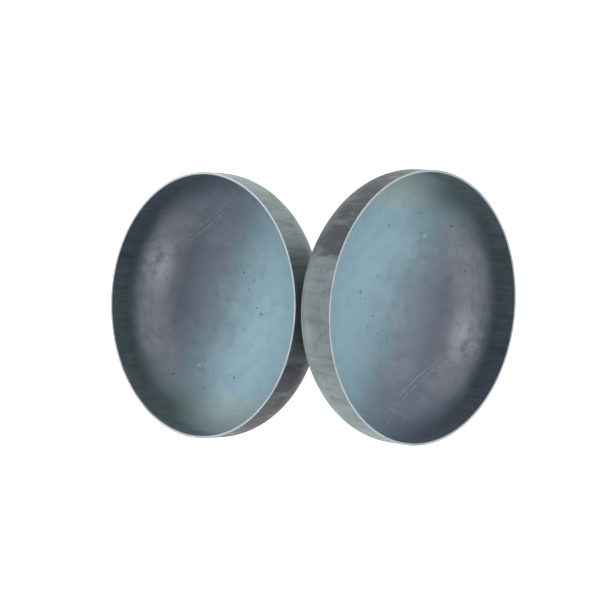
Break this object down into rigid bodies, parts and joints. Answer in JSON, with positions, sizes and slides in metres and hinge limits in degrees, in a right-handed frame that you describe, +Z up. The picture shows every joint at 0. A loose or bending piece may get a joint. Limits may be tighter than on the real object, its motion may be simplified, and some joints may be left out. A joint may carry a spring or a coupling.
{
  "type": "pipe cap",
  "caption": "Pressed steel butt-weld pipe caps with a short straight flange and a shallow elliptical dome, lying back to back with their open weld faces turned outward.",
  "frame": {"origin": "on the floor, under the middle of the pair's bounding box", "axes": "+Z up; +X from the left cap to the right cap; +Y across the pair, away from someone who has the left cap on their left"},
  "size_m": [0.5132, 0.3254, 0.2926],
  "materials": {
    "scaled_steel": "satin blue-grey mill finish, lightly scratched and pitted"
  },
  "bodies": {
    "cap_left": {"cap_left": "scaled_steel"},
    "cap_right": {"cap_right": "scaled_steel"}
  },
  "joints": [
    {"name": "cap_right_lift", "type": "slide", "parent": "cap_left", "child": "cap_right", "axis": [0, 0, 1], "range_m": [0, 0.3]}
  ]
}
